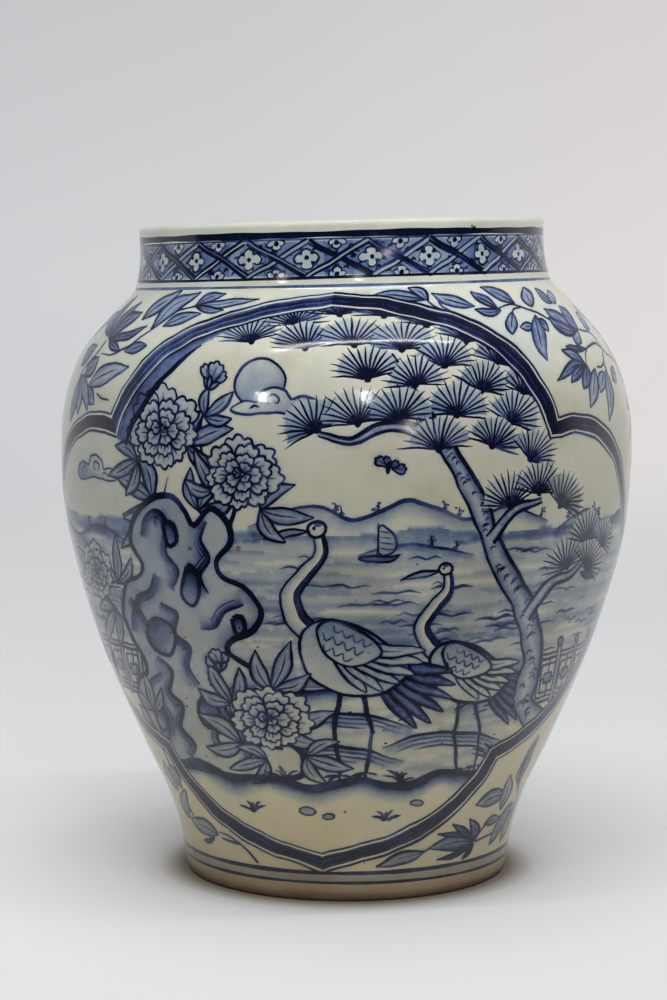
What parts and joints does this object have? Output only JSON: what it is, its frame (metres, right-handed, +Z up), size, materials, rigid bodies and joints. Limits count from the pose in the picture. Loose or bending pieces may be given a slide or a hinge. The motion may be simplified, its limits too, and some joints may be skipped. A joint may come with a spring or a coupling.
{
  "type": "baluster jar",
  "caption": "Tall high-shouldered baluster jar with a short upright collar, thrown in sections and luted with slip, glazed and painted under the glaze.",
  "frame": {"origin": "centre of the foot, on the surface that the jar stands on", "axes": "+Z up along the body's turning axis, -Y towards the front panel, +X to the right seen from the front"},
  "size_m": [0.334, 0.334, 0.383],
  "materials": {
    "glaze": "clear glossy glaze over blue underglaze painting on a cream body",
    "biscuit": "bare fired clay, matt and toasted brown",
    "slip": "fired luting slip, matt"
  },
  "bodies": {
    "root": {"foot_ring": "biscuit", "base_disc": "biscuit", "foot_slip": "slip", "floor_coil": "slip", "lower_body": "glaze", "belly_seam": "slip", "upper_body": "glaze", "collar_seam": "slip", "neck_collar": "glaze"}
  },
  "joints": []
}
